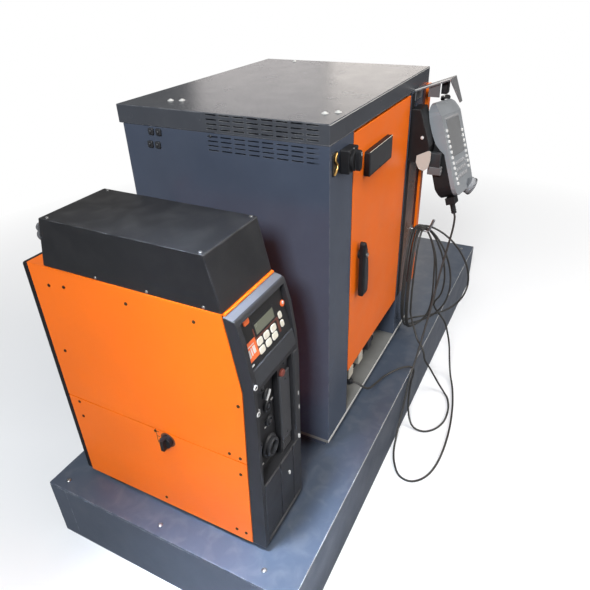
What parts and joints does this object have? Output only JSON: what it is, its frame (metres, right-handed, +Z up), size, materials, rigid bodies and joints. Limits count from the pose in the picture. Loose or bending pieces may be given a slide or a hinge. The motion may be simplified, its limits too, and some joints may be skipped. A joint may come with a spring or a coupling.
{
  "type": "robot welding control station",
  "caption": "Control station for a welding robot: a plinth carrying a welding power source with a cooling unit and a control cabinet with a hinged door, and a teach pendant with a coiled cable.",
  "frame": {"origin": "middle of the plinth's underside, on the floor", "axes": "+X along the plinth towards its free end, -Y out of the cabinet's front, +Z up"},
  "size_m": [2.05, 0.9766, 1.198],
  "materials": {
    "plinth_paint": "semi-gloss blue-grey paint, scuffed",
    "cabinet_paint": "fine-textured anthracite powder coat",
    "orange_paint": "satin orange powder coat",
    "black_plastic": "fine-grained black",
    "dark_metal": "dark grey coated sheet",
    "grey_plastic": "smooth grey",
    "beige_plastic": "light beige moulding",
    "bright_metal": "zinc-plated sheet",
    "grey_sheet": "light grey powder coat",
    "screen_glass": "glossy dark screen",
    "cable_jacket": "grey-brown cable jacket"
  },
  "bodies": {
    "station": {"cabinet_back": "cabinet_paint", "cabinet_base": "bright_metal", "cabinet_column": "cabinet_paint", "cabinet_header": "cabinet_paint", "cabinet_left_side": "cabinet_paint", "cabinet_lid": "cabinet_paint", "cabinet_right_side": "cabinet_paint", "cabinet_runner_left": "cabinet_paint", "cabinet_runner_right": "cabinet_paint", "cabinet_stile": "cabinet_paint", "cable_hook": "bright_metal", "cable_plug": "black_plastic", "column_strip": "orange_paint", "connection_panel": "black_plastic", "connector_row": "beige_plastic", "controller_computer": "grey_plastic", "door_pivot_lower": "bright_metal", "door_pivot_upper": "bright_metal", "drive_pack": "dark_metal", "interface_box": "black_plastic", "jog_disc": "grey_plastic", "main_switch_base": "black_plastic", "mounting_plate": "bright_metal", "pendant_back": "black_plastic", "pendant_boot": "black_plastic", "pendant_bracket": "grey_sheet", "pendant_cable_coil": "cable_jacket", "pendant_cable_lower": "cable_jacket", "pendant_cable_upper": "cable_jacket", "pendant_holder": "black_plastic", "pendant_housing": "grey_plastic", "pendant_lug": "grey_sheet", "pendant_screen": "screen_glass", "plinth_cross_member": "plinth_paint", "plinth_front_rail": "plinth_paint", "plinth_left_end": "plinth_paint", "plinth_rear_rail": "plinth_paint", "plinth_right_end": "plinth_paint", "plinth_top": "plinth_paint", "source_core": "dark_metal", "source_foot_front": "black_plastic", "source_foot_rear": "black_plastic", "source_front_bezel": "black_plastic", "source_lower_panel_left": "orange_paint", "source_lower_panel_right": "orange_paint", "source_rear_bezel": "black_plastic", "source_top_cover": "orange_paint", "source_upper_panel_left": "orange_paint", "source_upper_panel_right": "orange_paint"},
    "door": {"cabinet_door": "orange_paint", "service_panel": "black_plastic", "handle_plate": "black_plastic"},
    "door handle": {"door_handle": "black_plastic"},
    "main switch": {"main_switch_knob": "black_plastic"},
    "source switch": {"source_switch": "black_plastic"}
  },
  "joints": [
    {"name": "door_hinge", "type": "hinge", "parent": "station", "child": "door", "pos_m": [0.0215, -0.277, 0.783], "axis": [0, 0, 1], "range_deg": [0, 80]},
    {"name": "handle_turn", "type": "hinge", "parent": "door", "child": "door handle", "pos_m": [-0.3615, -0.2936, 0.798], "axis": [0, -1, 0], "range_deg": [0, 90]},
    {"name": "main_switch_turn", "type": "hinge", "parent": "station", "child": "main switch", "pos_m": [-0.4835, -0.3126, 1.101], "axis": [0, -1, 0], "range_deg": [0, 90]},
    {"name": "source_switch_turn", "type": "hinge", "parent": "station", "child": "source switch", "pos_m": [-0.939, -0.021, 0.496], "axis": [-1, 0, 0], "range_deg": [0, 90]}
  ]
}
